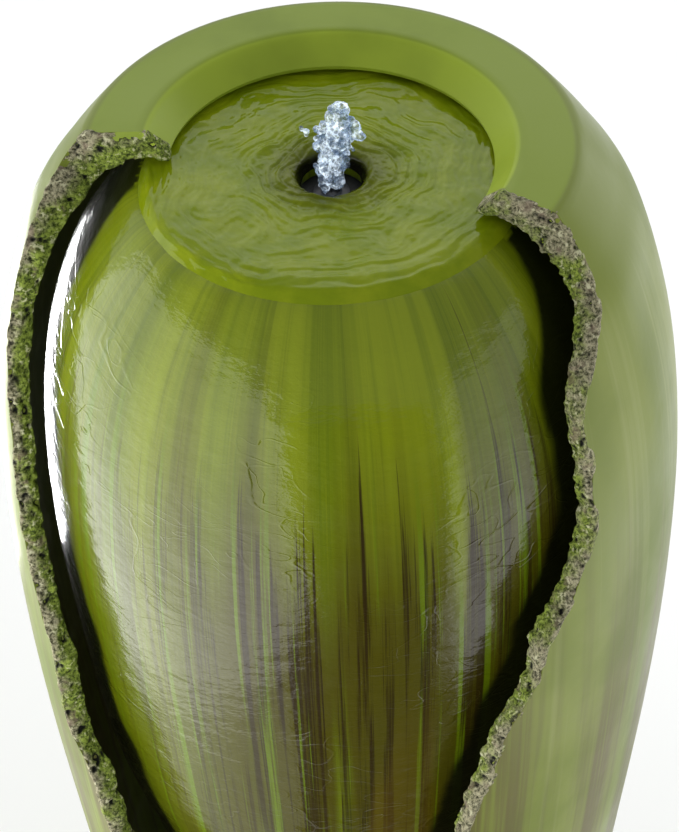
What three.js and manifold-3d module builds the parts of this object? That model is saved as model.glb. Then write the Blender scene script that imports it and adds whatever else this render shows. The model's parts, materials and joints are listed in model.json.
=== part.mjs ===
// Garden urn fountain: a torn-open glazed outer shell around a glossy inner vase.
// A pump in the vase's foot lifts water through a riser to a lit bubbler in the vase's top.
// Millimetres, +Z up, front towards -Y. The origin is the centre of the flat underside.

import * as THREE from 'three';
import { mergeVertices } from 'three/addons/utils/BufferGeometryUtils.js';
import Module from 'manifold-3d';

const wasm = await Module();
wasm.setup();

// ---------------------------------------------------------------- driving dimensions
const FIT = 0.3; // gap between touching pieces
const DEG = Math.PI / 180;

// Outer shell: radius and height up the outside, and up the inside from the basin floor.
const INNER_LIP = { r: 105.2, z: 845 };
const OUTER_LIP = { r: 138.4, z: 842 };
const FLOOR_Z = 16;
const SHELL_FOOT_R = 118;
const SHELL_OUTSIDE = [
  [125, 6], [141, 100], [157, 202], [173.4, 322], [188.9, 442], [197.7, 542],
  [200, 632], [194, 712], [177.5, 782], [160, 814], [OUTER_LIP.r + 3, OUTER_LIP.z - 2.5],
];
const SHELL_INSIDE = [
  [119, 26], [129, 100], [145, 202], [161.3, 322], [176.9, 442], [185.7, 542],
  [188, 632], [182, 712], [164.5, 780], [138, 810], [120, 823], [104, 828.5], [91, 826],
];
const SHELL_SEGMENTS = 42;

// Torn opening: its two edges as [height, degrees from the front, + towards +X].
const TEAR_BOTTOM = 255;
const TEAR_TOP = 860;
const TEAR_LEFT = [
  [255, -27], [275, -36], [310, -43], [360, -50], [404, -53], [457, -55], [472, -60], [540, -61],
  [593, -64.5], [650, -69], [689, -72], [722, -77], [772, -82.5], [793, -85.5], [815, -91], [828, -96],
  [860, -97],
];
const TEAR_RIGHT = [
  [255, -5], [280, 1], [330, 9], [390, 15], [470, 20.5], [520, 25.5], [575, 30], [607, 35],
  [642, 42], [664, 44], [753, 46.5], [772, 50], [795, 57], [832, 59.5], [860, 60],
];
const TEAR_ROWS = 32;
const TEAR_COLUMNS = 6;

// Inner vase: radius and height up the outside. Its inside follows it at VASE_WALL. The part of it
// below VASE_JOINT_Z is a separate stand, and the pool plate lies on a ledge inside its top.
const VASE_FOOT_Z = FLOOR_Z + FIT;
const VASE_JOINT_Z = 250;
const PLATE = { r: 103, z: 818, thickness: 10, holeR: 18.5 };
const LEDGE = { r: 96, thickness: 5 };
const VASE_OUTSIDE = [
  [100, VASE_FOOT_Z], [94, 70], [91, 130], [94, 190], [105, 250], [125, 322], [151.5, 412],
  [164.5, 502], [172.4, 582], [173.6, 652], [167.6, 712], [152.6, 762], [134.3, 792],
  [118, 810], [110, 816],
];
const VASE_WALL = 8;
const VASE_SEGMENTS = 32;
const VASE_SLOT = { width: 26, height: 30 };
const VASE_WINDOW = { halfWidth: 46, low: 262, high: 400, corner: 14 };

// Spacers that centre the vase in the shell, behind the closed part of the wall.
const SPACER = { low: 684, high: 724, width: 34, angles: [100, 152, -140] };

// Lamp socket under the vase's disc, and the lamp in it.
const SOCKET = { r: 24, wall: 5, depth: 22 };
const LAMP = { r: 21.4, bore: 8.7, wall: 1.6, bottom: 786, top: 806, ledCount: 6, ledCircle: 15 };
const NOZZLE = { bore: 4.8, r: 8.3, barb: 6.8, low: 752, shoulder: 782, lip: 11.6 };

// Riser from the pump's outlet to the nozzle.
const RISER = { r: 9.5, bore: 7.1, low: 92, high: 782 };
const LEAD = { r: 2.2, offset: 13.9 };
const TIE_HEIGHTS = [240, 430, 620];
const CLAMP_HEIGHTS = [104, 766];

// Pump: a motor block behind an impeller chamber, with its intake at the front.
const PUMP = { halfWidth: 31, low: 24, high: 86, front: -12, rear: 72, axisZ: 53, corner: 7 };
const CHAMBER = { r: 21, rear: 8 };
const WELL = { r: 11, rear: 48 };
const SHAFT = { r: 1.5, front: -15, rear: 50 };
const INTAKE = { front: -50, wall: 2, slotCount: 7, slotPitch: 7.2, slotWidth: 3.2 };
const CUP_POSITIONS = [[-20, 2], [20, 2], [-20, 58], [20, 58]];

// Rear hatch, cord gland and drain.
const HATCH = { halfWidth: 62, low: 262, high: 412, corner: 18, gap: 0.8, seal: 1.6 };
const KNOB_Z = 337;
const GLAND = { z: 236, holeR: 9, faceR: 14, outerFace: 159.5, innerFace: 151, bore: 3.8 };
const DRAIN = { z: 44, holeR: 11, faceR: 16, outerFace: 130, innerFace: 122 };

// ---------------------------------------------------------------- geometry helpers
const v2 = (pairs) => pairs.map(([r, z]) => new THREE.Vector2(r, z));

/** Turns a closed three.js geometry into a solid, whichever way its faces wind. */
function solid(geometry) {
  const bare = geometry.index ? geometry.toNonIndexed() : geometry.clone();
  bare.deleteAttribute('normal');
  bare.deleteAttribute('uv');
  const merged = mergeVertices(bare, 1e-4);
  const position = merged.attributes.position;
  const index = [];
  let volume = 0;
  const [a, b, c] = [new THREE.Vector3(), new THREE.Vector3(), new THREE.Vector3()];
  for (let i = 0; i < merged.index.count; i += 3) {
    const [p, q, r] = [0, 1, 2].map((k) => merged.index.getX(i + k));
    if (p === q || q === r || p === r) continue;
    index.push(p, q, r);
    a.fromBufferAttribute(position, p);
    b.fromBufferAttribute(position, q);
    c.fromBufferAttribute(position, r);
    volume += a.dot(b.cross(c));
  }
  if (volume < 0) index.reverse();
  return new wasm.Manifold(new wasm.Mesh({
    numProp: 3,
    vertProperties: Float32Array.from(position.array),
    triVerts: Uint32Array.from(index),
  }));
}

/** Turns a solid back into a geometry for a mesh. */
function geometryOf(body) {
  const mesh = body.getMesh();
  const geometry = new THREE.BufferGeometry();
  geometry.setAttribute('position', new THREE.BufferAttribute(Float32Array.from(mesh.vertProperties), 3));
  geometry.setIndex(new THREE.BufferAttribute(Uint32Array.from(mesh.triVerts), 1));
  return geometry;
}

/** A body of revolution about Z from [radius, height] pairs. */
function turned(pairs, segments = 16) {
  return new THREE.LatheGeometry(v2(pairs), segments).rotateX(Math.PI / 2);
}

/** A closed profile that stays off the axis, turned about Z. */
const turnedRing = (pairs, segments = 16) => turned([...pairs, pairs[0]], segments);

/** A plain ring about Z. */
const ring = (inner, outer, low, high, segments = 16) => (
  turnedRing([[inner, low], [outer, low], [outer, high], [inner, high]], segments)
);

/** A plain cylinder about Z. */
const rod = (radius, low, high, segments = 16) => (
  turned([[0, low], [radius, low], [radius, high], [0, high]], segments)
);

/** Turns a geometry built about Z so that its +Z points along +Y, about the height z. */
const alongY = (geometry, z) => geometry.rotateX(-Math.PI / 2).translate(0, 0, z);

const box = (x0, x1, y0, y1, z0, z1) => (
  new THREE.BoxGeometry(x1 - x0, y1 - y0, z1 - z0).translate((x0 + x1) / 2, (y0 + y1) / 2, (z0 + z1) / 2)
);

/** A rectangle with rounded corners, in X and Z, extruded along Y. */
function roundedBlock(halfWidth, low, high, corner, yLow, yHigh, steps = 3) {
  const shape = new THREE.Shape();
  shape.absarc(halfWidth - corner, high - corner, corner, 0, Math.PI / 2);
  shape.absarc(corner - halfWidth, high - corner, corner, Math.PI / 2, Math.PI);
  shape.absarc(corner - halfWidth, low + corner, corner, Math.PI, 1.5 * Math.PI);
  shape.absarc(halfWidth - corner, low + corner, corner, 1.5 * Math.PI, 2 * Math.PI);
  shape.closePath();
  const options = { depth: yHigh - yLow, bevelEnabled: false, curveSegments: steps };
  return new THREE.ExtrudeGeometry(shape, options).rotateX(Math.PI / 2).translate(0, yHigh, 0);
}

/** Points along a smooth curve through [radius, height] pairs. */
const smooth = (pairs, count) => (
  new THREE.SplineCurve(v2(pairs)).getPoints(count).map((p) => [p.x, p.y])
);

/** The value at a height, straight between the points of a [value, height] curve. */
function valueAt(curve, height) {
  const next = curve.findIndex((p) => p[1] >= height);
  if (next <= 0) return curve[next === 0 ? 0 : curve.length - 1][0];
  const [low, high] = [curve[next - 1], curve[next]];
  return THREE.MathUtils.mapLinear(height, low[1], high[1], low[0], high[0]);
}

/** Moves a rising curve of [radius, height] pairs inwards by a wall thickness. */
function offsetInwards(curve, wall) {
  return curve.map(([r, z], i) => {
    const before = curve[Math.max(i - 1, 0)];
    const after = curve[Math.min(i + 1, curve.length - 1)];
    const along = new THREE.Vector2(after[0] - before[0], after[1] - before[1]).normalize();
    return [r - wall * along.y, z + wall * along.x];
  });
}

// ---------------------------------------------------------------- meshes
const fountain = new THREE.Group();

const FINISH = {
  glaze: { color: 0x8c9b5a, roughness: 0.45, metalness: 0 },
  vaseGlaze: { color: 0x7a8a2a, roughness: 0.12, metalness: 0 },
  resin: { color: 0x8a8874, roughness: 0.8, metalness: 0 },
  blackPlastic: { color: 0x1c1d1f, roughness: 0.5, metalness: 0 },
  greyPlastic: { color: 0x55585c, roughness: 0.45, metalness: 0 },
  clearLens: { color: 0xe6eef2, roughness: 0.08, metalness: 0 },
  board: { color: 0xe9ebe6, roughness: 0.5, metalness: 0 },
  led: { color: 0xf6f2c8, roughness: 0.2, metalness: 0 },
  brass: { color: 0xb08d4a, roughness: 0.3, metalness: 1 },
  steel: { color: 0xb4b7ba, roughness: 0.3, metalness: 1 },
  magnet: { color: 0x3a3a3d, roughness: 0.6, metalness: 0.2 },
  ceramic: { color: 0xf1efe8, roughness: 0.25, metalness: 0 },
  rubber: { color: 0x242424, roughness: 0.8, metalness: 0 },
  vinyl: { color: 0xcfd6cf, roughness: 0.2, metalness: 0 },
  sponge: { color: 0x2f3b45, roughness: 1, metalness: 0 },
};

/** Adds one named piece to the fountain. */
function piece(name, shape, finish) {
  const geometry = shape.isBufferGeometry ? geometryOf(solid(shape)) : geometryOf(shape);
  const mesh = new THREE.Mesh(geometry, new THREE.MeshStandardMaterial(FINISH[finish]));
  mesh.name = name;
  fountain.add(mesh);
}

// ---------------------------------------------------------------- shell and vase profiles
const shellOutside = smooth(SHELL_OUTSIDE, 14);
const shellInside = smooth(SHELL_INSIDE, 16);
const vaseOutside = smooth(VASE_OUTSIDE, 16);

/** Cuts a rear port along Y: a hole with a flat face for a flange outside and inside. */
function rearPort(body, port) {
  const hole = alongY(rod(port.holeR, 90, 220, 16), port.z);
  const outside = alongY(rod(port.faceR, port.outerFace, 220, 16), port.z);
  const inside = alongY(rod(port.faceR, port.innerFace - 18, port.innerFace, 16), port.z);
  return body.subtract(solid(hole)).subtract(solid(outside)).subtract(solid(inside));
}

/** A little raggedness for the torn edges, in degrees. */
const jag = (z, phase) => 1.1 * Math.sin(0.23 * z + phase) + 0.7 * Math.sin(0.41 * z + 2.1 * phase);

/** The space that the torn opening removes, bent round the axis between its two edges. */
function tearCutter() {
  const swap = (edge) => edge.map(([z, angle]) => [angle, z]);
  const left = swap(TEAR_LEFT);
  const right = swap(TEAR_RIGHT);
  const geometry = new THREE.BoxGeometry(1, 1, 1, TEAR_COLUMNS, 1, TEAR_ROWS).translate(0.5, 0.5, 0.5);
  const position = geometry.attributes.position;
  for (let i = 0; i < position.count; i += 1) {
    const z = THREE.MathUtils.lerp(TEAR_BOTTOM, TEAR_TOP, position.getZ(i));
    const start = valueAt(left, z) + jag(z, 0.4);
    const end = valueAt(right, z) + jag(z, 1.9);
    const angle = THREE.MathUtils.lerp(start, end, position.getX(i)) * DEG;
    const radius = THREE.MathUtils.lerp(260, 60, position.getY(i));
    position.setXYZ(i, radius * Math.sin(angle), -radius * Math.cos(angle), z);
  }
  return geometry;
}

function outerShell() {
  const profile = [
    [0, 0], [SHELL_FOOT_R, 0], ...shellOutside, [OUTER_LIP.r - 1, OUTER_LIP.z],
    [INNER_LIP.r + 2, INNER_LIP.z], [INNER_LIP.r - 1, INNER_LIP.z - 1.2],
    ...shellInside.toReversed(), [112, FLOOR_Z + 3], [104, FLOOR_Z], [0, FLOOR_Z],
  ];
  const hatchHole = roundedBlock(HATCH.halfWidth, HATCH.low, HATCH.high, HATCH.corner, 100, 230);
  const body = solid(turned(profile, SHELL_SEGMENTS))
    .subtract(solid(tearCutter()))
    .subtract(solid(hatchHole));
  return rearPort(rearPort(body, GLAND), DRAIN);
}

/** The vase and its stand: one curved wall, with a rear window and foot slots, parted at the joint. */
function vase() {
  const seat = PLATE.z - PLATE.thickness - FIT;
  const inside = offsetInwards(vaseOutside, VASE_WALL).filter(([, z]) => z > VASE_FOOT_Z && z < seat - 10);
  const profile = [
    ...vaseOutside, [PLATE.r + FIT, PLATE.z], [PLATE.r + FIT, seat], [LEDGE.r, seat],
    [LEDGE.r, seat - LEDGE.thickness], ...inside.toReversed(), [VASE_OUTSIDE[0][0] - VASE_WALL, VASE_FOOT_Z],
  ];
  let wall = solid(turnedRing(profile, VASE_SEGMENTS));
  const { halfWidth, low, high, corner } = VASE_WINDOW;
  wall = wall.subtract(solid(roundedBlock(halfWidth, low, high, corner, 40, 200)));
  for (const angle of [45, 135]) {
    const slot = box(-120, 120, -VASE_SLOT.width / 2, VASE_SLOT.width / 2, 0, FLOOR_Z + VASE_SLOT.height);
    wall = wall.subtract(solid(slot.rotateZ(angle * DEG)));
  }
  const below = solid(box(-200, 200, -200, 200, 0, VASE_JOINT_Z + FIT / 2));
  const above = solid(box(-200, 200, -200, 200, VASE_JOINT_Z - FIT / 2, 900));
  piece('inner_vase', wall.subtract(below), 'vaseGlaze');
  piece('vase_stand', wall.subtract(above), 'vaseGlaze');
}

/** The plate under the pool, with the outlet hole and the lamp's socket below it. */
function poolPlate() {
  const under = PLATE.z - PLATE.thickness;
  const socketLow = under - SOCKET.depth;
  const socketOuter = SOCKET.r + SOCKET.wall;
  const profile = [
    [PLATE.r, under], [PLATE.r, PLATE.z], [PLATE.holeR, PLATE.z], [PLATE.holeR, under],
    [SOCKET.r, under], [SOCKET.r, socketLow], [socketOuter, socketLow], [socketOuter + 3, under],
  ];
  piece('pool_plate', turnedRing(profile, VASE_SEGMENTS), 'vaseGlaze');
}

/** The band between the vase and the shell, cut to one block per spacer. */
function spacers() {
  const levels = [0, 0.25, 0.5, 0.75, 1].map((t) => THREE.MathUtils.lerp(SPACER.low, SPACER.high, t));
  const near = levels.map((z) => [valueAt(vaseOutside, z) + 2 * FIT, z]);
  const far = levels.map((z) => [valueAt(shellInside, z) - 4 * FIT, z]);
  const band = solid(turnedRing([...near, ...far.toReversed()], VASE_SEGMENTS));
  SPACER.angles.forEach((angle, i) => {
    const block = box(-SPACER.width / 2, SPACER.width / 2, -210, -100, SPACER.low - 5, SPACER.high + 5);
    piece(`vase_spacer_${i + 1}`, band.intersect(solid(block.rotateZ(angle * DEG))), 'resin');
  });
}

// ---------------------------------------------------------------- rear hatch, gland and drain
function rearHatch() {
  const levels = [250, 280, 310, 337, 365, 395, 425];
  const outside = levels.map((z) => [valueAt(shellOutside, z), z]);
  const inside = levels.map((z) => [valueAt(shellInside, z), z]);
  const wall = solid(turnedRing([...outside, ...inside.toReversed()], SHELL_SEGMENTS));
  const inset = (by) => {
    const { halfWidth, low, high, corner } = HATCH;
    return solid(roundedBlock(halfWidth - by, low + by, high - by, corner - by, 120, 210));
  };
  const seal = inset(HATCH.gap).subtract(inset(HATCH.gap + HATCH.seal));
  const face = valueAt(shellOutside, KNOB_Z) - 3;
  const stemHole = alongY(rod(3, 120, 220, 16), KNOB_Z);
  const knobSeat = alongY(rod(15, face, 220, 16), KNOB_Z);
  const nutSeat = alongY(rod(8, 140, face - 6, 16), KNOB_Z);
  const panel = wall.intersect(inset(HATCH.gap + HATCH.seal + FIT));
  const bored = panel.subtract(solid(stemHole)).subtract(solid(knobSeat)).subtract(solid(nutSeat));
  piece('rear_hatch', bored, 'glaze');
  piece('hatch_seal', wall.intersect(seal), 'rubber');

  const base = face + FIT;
  const knob = [
    [3, base], [13, base], [13.5, base + 3], [9, base + 7], [9.5, base + 12], [13, base + 16],
    [12, base + 20], [3, base + 20],
  ];
  piece('hatch_knob', alongY(turnedRing(knob, 16), KNOB_Z), 'brass');
  const screw = [
    [0, face - 12], [6, face - 12], [6, face - 6 - FIT], [2.6, face - 6 - FIT], [2.6, base + 18.5],
    [0, base + 18.5],
  ];
  piece('hatch_knob_screw', alongY(turned(screw, 16), KNOB_Z), 'steel');
}

function cordGland() {
  const { z, holeR, faceR, outerFace, innerFace, bore } = GLAND;
  const body = [
    [bore, innerFace - 12], [holeR - 1.4, innerFace - 12], [holeR - 1.4, innerFace - FIT],
    [holeR - FIT, innerFace], [holeR - FIT, outerFace + FIT], [faceR - 1, outerFace + FIT],
    [faceR - 1, outerFace + 3], [holeR - 2, outerFace + 9], [bore, outerFace + 9],
  ];
  piece('cord_gland', alongY(turnedRing(body, 16), z), 'rubber');
  const nut = new THREE.CylinderGeometry(faceR - 1, faceR - 1, 6, 6).rotateX(Math.PI / 2);
  const nutBody = solid(nut.translate(0, 0, innerFace - FIT - 3));
  const opened = nutBody.subtract(solid(rod(holeR - 1.4 + FIT, 0, 200, 16)));
  piece('gland_nut', alongY(geometryOf(opened), z), 'greyPlastic');
}

function drain() {
  const { z, holeR, faceR, outerFace, innerFace } = DRAIN;
  const bush = [
    [8, innerFace - 3], [holeR - 1, innerFace - 3], [holeR - FIT, innerFace],
    [holeR - FIT, outerFace + FIT], [faceR - 1, outerFace + FIT], [faceR - 1, outerFace + 2.5],
    [8, outerFace + 2.5],
  ];
  piece('drain_bush', alongY(turnedRing(bush, 16), z), 'greyPlastic');
  const seat = outerFace + 2.5 + FIT;
  const plug = [
    [0, innerFace - 5], [7, innerFace - 5], [7.6, innerFace - 2], [7.6, seat], [12, seat],
    [12, seat + 3], [5, seat + 4], [5, seat + 8], [7, seat + 9], [7, seat + 11], [0, seat + 11],
  ];
  piece('drain_plug', alongY(turned(plug, 16), z), 'rubber');
}

// ---------------------------------------------------------------- lamp, nozzle and riser
function lamp() {
  const { r, bore, wall, bottom, top } = LAMP;
  const cup = [
    [bore, bottom], [r, bottom], [r, top], [r - wall, top], [r - wall, bottom + 3],
    [bore + wall, bottom + 3], [bore + wall, top], [bore, top],
  ];
  const entry = rod(LEAD.r + FIT, bottom - 1, bottom + 4, 12).translate(-LEAD.offset, 0, 0);
  piece('lamp_housing', solid(turnedRing(cup, 24)).subtract(solid(entry)), 'blackPlastic');
  piece('lamp_sleeve', ring(r + FIT, SOCKET.r - FIT, bottom + 2, top + 1.5, 24), 'rubber');

  const boardTop = bottom + 11;
  piece('lamp_board', ring(bore + wall + FIT, r - wall - FIT, boardTop - 1.6, boardTop, 24), 'board');
  for (let i = 0; i < LAMP.ledCount; i += 1) {
    const low = boardTop + FIT;
    const dome = [
      [0, low], [2.2, low], [2.2, low + 2.4], [1.6, low + 3.8], [0.7, low + 4.5], [0, low + 4.6],
    ];
    const angle = (i + 0.5) * (360 / LAMP.ledCount) * DEG;
    const [x, y] = [LAMP.ledCircle * Math.cos(angle), LAMP.ledCircle * Math.sin(angle)];
    piece(`lamp_led_${i + 1}`, turned(dome, 12).translate(x, y, 0), 'led');
  }
  const lens = [
    [bore + wall + FIT, top - 2.6], [r - wall - FIT, top - 2.6], [r - wall - FIT, top],
    [r - 4, top + 1], [bore + 4, top + 1], [bore + wall + FIT, top],
  ];
  piece('lamp_lens', turnedRing(lens, 24), 'clearLens');
}

function nozzle() {
  const { bore, r, barb, low, shoulder, lip } = NOZZLE;
  const seat = LAMP.top + 1.4;
  const profile = [
    [bore, low], [barb - 1, low], [barb, low + 5], [barb - 0.8, low + 6], [barb, low + 11],
    [barb - 0.8, low + 12], [barb - 0.8, shoulder + FIT], [r, shoulder + FIT], [r, seat], [lip, seat],
    [lip - 0.6, seat + 2.4], [bore + 1.2, seat + 3.6], [bore, seat + 3],
  ];
  piece('bubbler_nozzle', turnedRing(profile, 20), 'blackPlastic');
}

function riser() {
  piece('riser_tube', ring(RISER.bore, RISER.r, RISER.low, RISER.high, 16), 'vinyl');
  CLAMP_HEIGHTS.forEach((z, i) => {
    const band = solid(ring(RISER.r + FIT, RISER.r + 1.4, z - 4, z + 4, 16));
    const worm = solid(box(RISER.r + 0.8, RISER.r + 7.5, -5, 5, z - 4.5, z + 4.5));
    const head = solid(rod(3.2, -9, 9, 12).rotateX(Math.PI / 2).translate(RISER.r + 4.2, 0, z));
    piece(`hose_clamp_${i + 1}`, band.add(worm).add(head), 'steel');
  });

  // The lamp's lead runs down beside the riser, from the lamp's entry to the pump's own.
  const side = -LEAD.offset;
  const route = new THREE.CatmullRomCurve3([
    new THREE.Vector3(side, 0, LAMP.bottom + 5), new THREE.Vector3(side, 0, 740),
    new THREE.Vector3(side, 0, 520), new THREE.Vector3(side, 0, 300), new THREE.Vector3(side, 0, 200),
    new THREE.Vector3(side, 0, 160),
    new THREE.Vector3(side - 2, 8, 122), new THREE.Vector3(side - 4, 24, 104),
    new THREE.Vector3(side - 4, 30, PUMP.high + 2),
  ]);
  const section = new THREE.Shape();
  section.absarc(0, 0, LEAD.r, 0, 2 * Math.PI);
  const options = { steps: 40, curveSegments: 4, extrudePath: route, bevelEnabled: false };
  piece('lamp_lead', new THREE.ExtrudeGeometry(section, options), 'rubber');

  TIE_HEIGHTS.forEach((z, i) => piece(`lead_tie_${i + 1}`, tie(z), 'blackPlastic'));
}

/** A cable tie round the riser and the lead beside it, with its locking head. */
function tie(z) {
  const loop = (grow) => {
    const big = RISER.r + grow;
    const small = LEAD.r + grow;
    const lean = Math.acos((big - small) / LEAD.offset);
    const shape = new THREE.Shape();
    shape.absarc(0, 0, big, -(Math.PI - lean), Math.PI - lean);
    shape.absarc(-LEAD.offset, 0, small, Math.PI - lean, Math.PI + lean);
    shape.closePath();
    const extrude = { depth: 3.6, bevelEnabled: false, curveSegments: 5 };
    return solid(new THREE.ExtrudeGeometry(shape, extrude).translate(0, 0, z - 1.8));
  };
  const head = solid(box(RISER.r + 0.9, RISER.r + 5, -2.6, 2.6, z - 2.6, z + 2.6));
  return loop(1.5).subtract(loop(0.4)).add(head);
}

// ---------------------------------------------------------------- pump
function pumpHousing() {
  const { halfWidth, low, high, front, rear, axisZ, corner } = PUMP;
  const cavities = [
    alongY(rod(CHAMBER.r, front - 1, CHAMBER.rear, 20), axisZ),
    alongY(rod(WELL.r, front, WELL.rear, 16), axisZ),
    alongY(rod(4.3, front, SHAFT.rear + 1, 16), axisZ),
    alongY(ring(23.4, 26.6, front - 1, front + 2, 20), axisZ),
    rod(7.6, axisZ, high + 1, 16),
    rod(LEAD.r + FIT, high - 5, high + 1, 12).translate(-LEAD.offset - 4, 30, 0),
  ];
  let body = solid(roundedBlock(halfWidth, low, high, corner, front, rear));
  for (const cavity of cavities) body = body.subtract(solid(cavity));
  for (let i = 0; i < 4; i += 1) {
    const y = 22 + i * 12;
    const rib = solid(roundedBlock(halfWidth + 1.6, low + 8, high - 8, corner, y, y + 3));
    const inner = solid(roundedBlock(halfWidth - 2, low, high, corner, y - 1, y + 4));
    body = body.add(rib.subtract(inner));
  }
  return body;
}

function pump() {
  const { halfWidth, low, high, front, axisZ, corner } = PUMP;
  piece('pump_housing', pumpHousing(), 'blackPlastic');
  piece('chamber_seal', alongY(ring(23.7, 26.3, front - 0.1, front + 1.7, 20), axisZ), 'rubber');

  const spout = [
    [NOZZLE.bore, high - 8], [7.3, high - 8], [7.3, high + FIT], [12, high + FIT], [12, high + 3.5],
    [RISER.bore - 1, high + 3.5], [RISER.bore - 0.3, 112], [RISER.bore - 1.2, 118], [NOZZLE.bore, 118],
  ];
  piece('outlet_spout', turnedRing(spout, 16), 'blackPlastic');

  // Impeller chamber cover, with three spokes that carry the front bush.
  const plateBack = front - 0.4;
  const plateFront = plateBack - 3;
  let cover = solid(roundedBlock(halfWidth - 1, low + 1, high - 1, corner, plateFront, plateBack));
  cover = cover.subtract(solid(alongY(rod(11, plateFront - 1, plateBack + 1, 16), axisZ)));
  for (let i = 0; i < 3; i += 1) {
    const spoke = box(-1, 1, plateFront, plateBack, 0, 12).rotateY(i * 120 * DEG).translate(0, 0, axisZ);
    cover = cover.add(solid(spoke));
  }
  cover = cover.add(solid(alongY(rod(5.2, plateFront, plateBack, 16), axisZ)));
  cover = cover.subtract(solid(alongY(rod(3.6, plateFront - 1, plateBack + 1, 16), axisZ)));
  piece('chamber_cover', cover, 'blackPlastic');
  piece('front_bush', alongY(ring(SHAFT.r + 0.1, 3.3, plateFront, plateBack, 16), axisZ), 'rubber');
  piece('rear_bush', alongY(ring(SHAFT.r + 0.1, 4, WELL.rear + 0.3, WELL.rear + 2.6, 16), axisZ), 'rubber');
  piece('impeller_shaft', alongY(rod(SHAFT.r, SHAFT.front, SHAFT.rear, 16), axisZ), 'ceramic');

  // Impeller: hub, back disc and six vanes in front of the magnet rotor.
  const shaftHole = SHAFT.r + 0.15;
  let impeller = solid(ring(shaftHole, 4, -9, 9.5, 16)).add(solid(ring(shaftHole, 17, 4.5, 6.5, 16)));
  for (let i = 0; i < 6; i += 1) {
    impeller = impeller.add(solid(box(3.5, 18.5, -0.8, 0.8, -8, 5).rotateZ(i * 60 * DEG)));
  }
  piece('impeller', alongY(geometryOf(impeller), axisZ), 'greyPlastic');
  piece('rotor_magnet', alongY(ring(shaftHole, 9.6, 9.8, 44, 16), axisZ), 'magnet');

  intakeCover(plateFront - FIT);
  CUP_POSITIONS.forEach(([x, y], i) => {
    const cup = [
      [0, FLOOR_Z + 3], [5, FLOOR_Z + 1.6], [10, FLOOR_Z + FIT], [10.6, FLOOR_Z + 0.8], [5, FLOOR_Z + 4.6],
      [3.4, low - FIT], [0, low - FIT],
    ];
    piece(`suction_cup_${i + 1}`, turned(cup, 16).translate(x, y, 0), 'rubber');
  });
}

/** Slotted cover over the intake, with the sponge and the flow dial that it carries. */
function intakeCover(back) {
  const { halfWidth, low, high, axisZ, corner } = PUMP;
  const { front, wall, slotCount, slotPitch, slotWidth } = INTAKE;
  let cover = solid(roundedBlock(halfWidth, low, high, corner, front, back));
  const inner = { halfWidth: halfWidth - wall, low: low + wall, high: high - wall, corner: corner - wall };
  const hollow = roundedBlock(inner.halfWidth, inner.low, inner.high, inner.corner, front + wall, back + 1);
  cover = cover.subtract(solid(hollow));
  for (let i = 0; i < slotCount; i += 1) {
    const x = (i - (slotCount - 1) / 2) * slotPitch;
    const reach = Math.abs(x) < 11 ? 12 : 0; // the slots stop short of the dial in the middle
    const slot = (z0, z1) => (
      solid(box(x - slotWidth / 2, x + slotWidth / 2, front - 1, front + wall + 1, z0, z1))
    );
    cover = cover.subtract(slot(low + 8, axisZ - reach)).subtract(slot(axisZ + reach, high - 8));
  }
  for (let i = 0; i < 4; i += 1) {
    const y = front + 6 + i * 6.5;
    cover = cover.subtract(solid(box(-halfWidth - 1, halfWidth + 1, y, y + slotWidth, low + 12, high - 12)));
  }
  cover = cover.subtract(solid(alongY(rod(3.3, front - 1, front + wall + 1, 16), axisZ)));
  piece('intake_cover', cover, 'greyPlastic');

  const spongeBack = back - 6;
  const pad = roundedBlock(inner.halfWidth - 1, inner.low + 1, inner.high - 1, 4, front + 7, spongeBack);
  piece('filter_sponge', pad, 'sponge');

  const dial = [
    [0, front - 8], [7.4, front - 8], [8.4, front - 6.6], [8.4, front - FIT], [3, front - FIT],
    [3, front + wall + FIT], [4.4, front + wall + FIT], [4.4, front + wall + 2], [0, front + wall + 2],
  ];
  const grip = solid(turned(dial, 16)).add(solid(box(-1.2, 1.2, 0, 7, front - 9.4, front - 7)));
  piece('flow_dial', alongY(geometryOf(grip), axisZ), 'blackPlastic');
}

// ---------------------------------------------------------------- assembly
piece('outer_shell', outerShell(), 'glaze');
vase();
poolPlate();
spacers();
rearHatch();
cordGland();
drain();
lamp();
nozzle();
riser();
pump();

export default fountain;
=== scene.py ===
"""Looks of the torn-shell urn fountain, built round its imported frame.

Metres, +Z up, front towards -Y. Profiles below are in millimetres and are scaled by MM.
"""
import json
import math
from itertools import product

import bmesh
import bpy
import numpy as np
from mathutils import Matrix, Vector


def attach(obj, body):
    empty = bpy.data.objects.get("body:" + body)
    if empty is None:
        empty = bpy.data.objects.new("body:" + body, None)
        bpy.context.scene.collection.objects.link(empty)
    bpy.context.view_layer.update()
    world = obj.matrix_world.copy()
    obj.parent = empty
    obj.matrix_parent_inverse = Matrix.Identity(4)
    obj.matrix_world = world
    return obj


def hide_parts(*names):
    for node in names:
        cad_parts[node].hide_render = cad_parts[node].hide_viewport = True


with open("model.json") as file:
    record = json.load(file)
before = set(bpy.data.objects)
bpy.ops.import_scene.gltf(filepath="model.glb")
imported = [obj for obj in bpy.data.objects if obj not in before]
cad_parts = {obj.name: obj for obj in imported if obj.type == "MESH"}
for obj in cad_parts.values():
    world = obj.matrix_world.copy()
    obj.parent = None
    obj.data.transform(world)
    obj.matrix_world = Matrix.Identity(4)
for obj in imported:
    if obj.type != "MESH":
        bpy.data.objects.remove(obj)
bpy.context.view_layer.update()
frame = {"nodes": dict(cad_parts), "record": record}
MM = 0.001

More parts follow.
